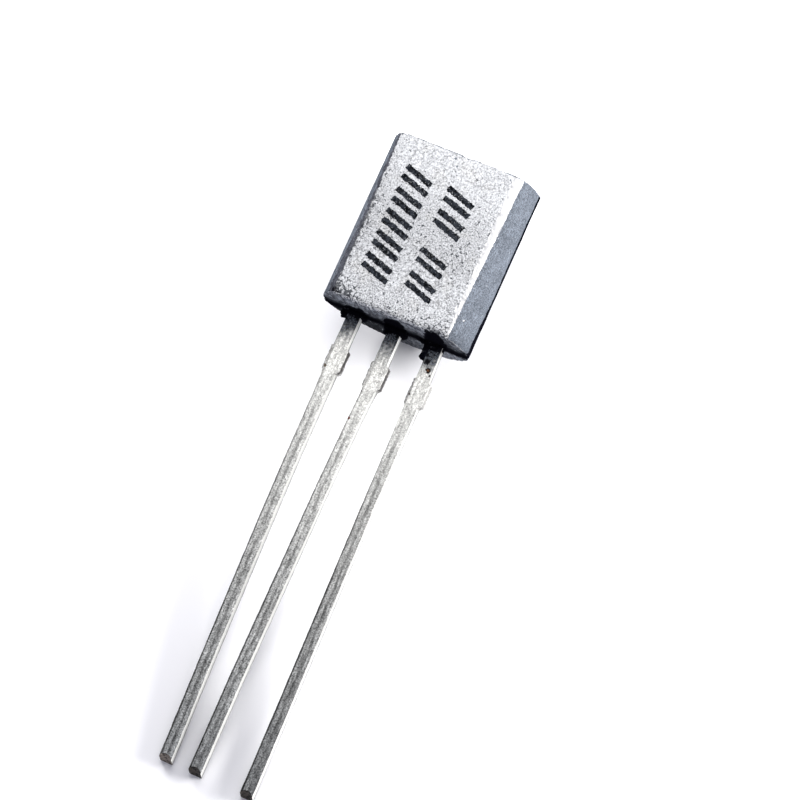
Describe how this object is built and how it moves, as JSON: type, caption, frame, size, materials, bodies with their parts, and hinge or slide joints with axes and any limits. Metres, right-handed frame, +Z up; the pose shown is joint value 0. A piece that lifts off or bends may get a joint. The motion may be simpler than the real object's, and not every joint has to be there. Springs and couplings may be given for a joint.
{
  "type": "to-92 transistor",
  "caption": "Small-signal transistor in a moulded half-round plastic package with a flat face, with long flat leads in a row, slightly splayed.",
  "frame": {"origin": "on the ground under the middle of the part's outline, as it lies on its round back and its lead tips", "axes": "+Y from the lead tips towards the top end of the body, +X across the row of leads from the collector lead to the emitter lead, +Z up, out of the flat face"},
  "size_m": [0.0046, 0.019, 0.0043],
  "materials": {
    "moulded_resin": "fine-grained moulded resin, sanded silvery on the flat face",
    "tinned_lead": "dull mottled tin plating with dark stains",
    "silicon": "polished silicon die",
    "solder": "dull soft solder",
    "bond_wire": "smooth gold wire"
  },
  "bodies": {
    "root": {"moulded_body": "moulded_resin", "collector_lead": "tinned_lead", "base_lead": "tinned_lead", "emitter_lead": "tinned_lead", "chip": "silicon", "chip_solder": "solder", "base_wire": "bond_wire", "emitter_wire": "bond_wire"}
  },
  "joints": []
}
